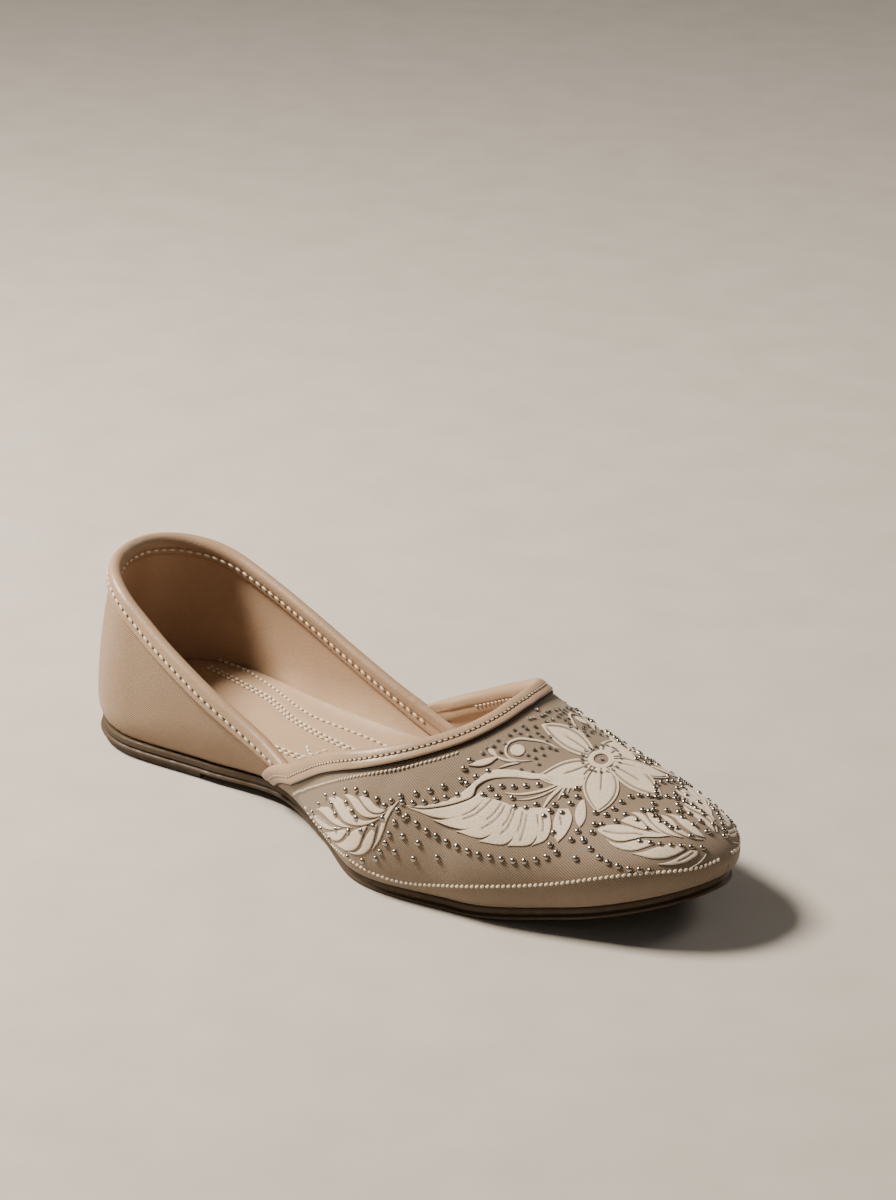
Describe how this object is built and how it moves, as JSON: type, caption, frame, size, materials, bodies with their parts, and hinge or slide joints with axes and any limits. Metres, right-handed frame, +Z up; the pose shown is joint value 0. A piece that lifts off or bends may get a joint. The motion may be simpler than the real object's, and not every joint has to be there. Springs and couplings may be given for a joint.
{
  "type": "mojari shoe",
  "caption": "Flat slip-on mojari for the right foot: soft upper with rolled collar and throat edges, padded insole and a thin rubber sole with a low heel lift.",
  "frame": {"origin": "middle of the shoe's length and width, on the floor it stands on", "axes": "+X to the toe, +Y to the inner side of the foot, +Z up"},
  "size_m": [0.2488, 0.086, 0.0614],
  "materials": {
    "upper": "satin twill",
    "binding": "soft satin",
    "insole": "matte",
    "outsole": "satin",
    "heel": "matte",
    "applique": "felted relief",
    "thread": "cotton thread",
    "stud": "polished",
    "stone": "faceted"
  },
  "bodies": {
    "root": {"upper": "upper", "throat_binding": "binding", "collar_binding": "binding", "insole": "insole", "outsole": "outsole", "heel": "heel"}
  },
  "joints": []
}
